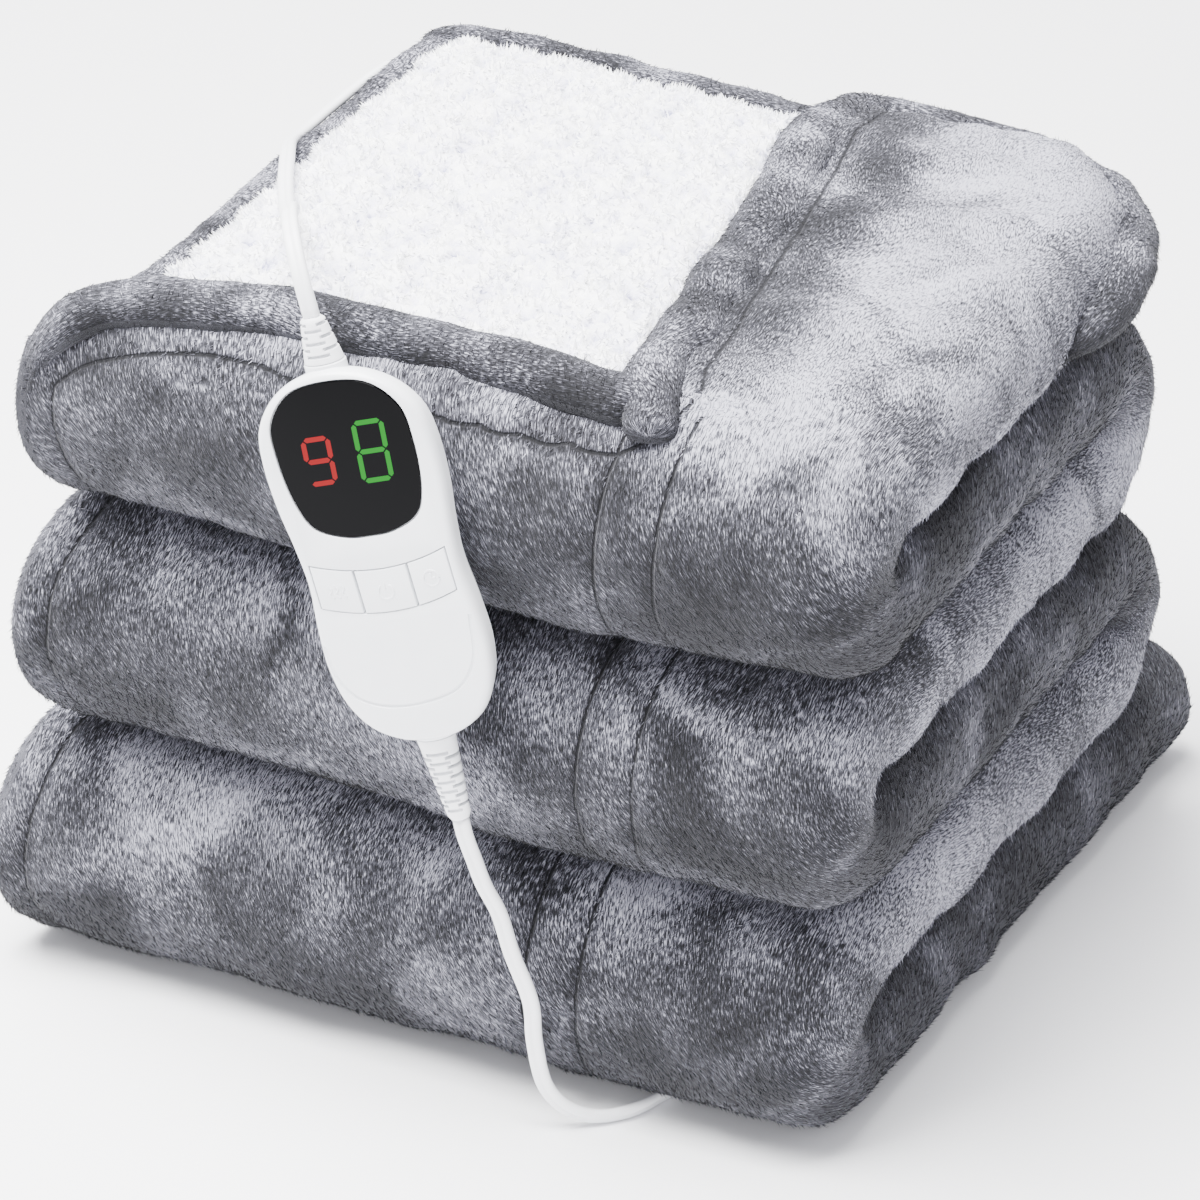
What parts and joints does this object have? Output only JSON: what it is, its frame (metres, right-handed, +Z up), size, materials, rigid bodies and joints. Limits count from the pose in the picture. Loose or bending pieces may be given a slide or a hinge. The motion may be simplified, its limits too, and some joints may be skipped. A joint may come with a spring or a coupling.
{
  "type": "heated throw",
  "caption": "Plush heated throw folded into a neat stack, its sherpa lining turned out on top, with a wired hand control resting on the front.",
  "frame": {"origin": "middle of the base under the folded stack and its hand control", "axes": "+Z up, +X along the front rolls from left to right, +Y from the front with the hand control to the back with the coiled lead"},
  "size_m": [0.3482, 0.46, 0.3313],
  "materials": {
    "flannel": "plush pile",
    "sherpa": "curly pile",
    "shell": "gloss",
    "display": "gloss",
    "cord": "satin",
    "blade": "polished"
  },
  "bodies": {
    "throw": {"throw_cloth": "flannel", "sherpa_lining": "sherpa", "control_housing": "shell", "display_window": "display", "strain_relief_mains": "cord", "strain_relief_throw": "cord", "mains_lead": "cord", "mains_coil": "cord", "plug_lead": "cord", "throw_lead": "cord", "plug_body": "cord", "plug_blade_left": "blade", "plug_blade_right": "blade"},
    "left_key": {"key_left": "shell"},
    "power_key": {"key_power": "shell"},
    "right_key": {"key_right": "shell"}
  },
  "joints": [
    {"name": "left_key_press", "type": "slide", "parent": "throw", "child": "left_key", "axis": [-0.2076, 0.9768, -0.0523], "range_m": [0, 0.0006], "stiffness_N_per_m": 800},
    {"name": "power_key_press", "type": "slide", "parent": "throw", "child": "power_key", "axis": [-0.2076, 0.9768, -0.0523], "range_m": [0, 0.0006], "stiffness_N_per_m": 800},
    {"name": "right_key_press", "type": "slide", "parent": "throw", "child": "right_key", "axis": [-0.2076, 0.9768, -0.0523], "range_m": [0, 0.0006], "stiffness_N_per_m": 800}
  ]
}
